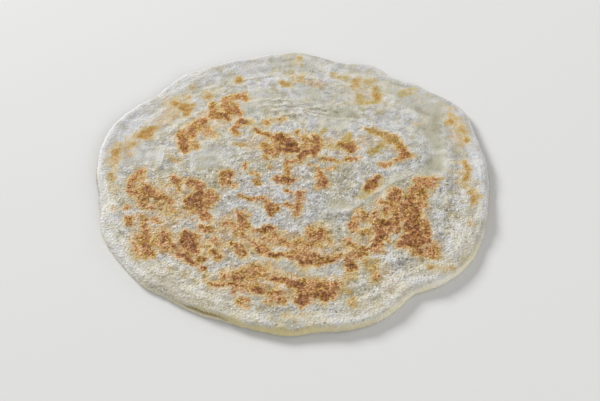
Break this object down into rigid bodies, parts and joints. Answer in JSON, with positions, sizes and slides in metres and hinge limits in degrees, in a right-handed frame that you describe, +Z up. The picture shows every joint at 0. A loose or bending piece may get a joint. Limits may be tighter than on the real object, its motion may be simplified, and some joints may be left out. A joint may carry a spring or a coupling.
{
  "type": "roti",
  "caption": "Round flatbread with a soft rolled rim, an uneven hand-rolled edge and brown griddle marks on pale dough.",
  "frame": {"origin": "centre of the bread's outline, on the flat underside that it rests on", "axes": "+Z up through the thickness, +Y towards the far edge with the small bulge, +X towards the right edge"},
  "size_m": [0.21, 0.203, 0.0055],
  "materials": {
    "dough": "soft matte baked dough, pale cream with brown griddle marks"
  },
  "bodies": {
    "root": {"roti": "dough"}
  },
  "joints": []
}
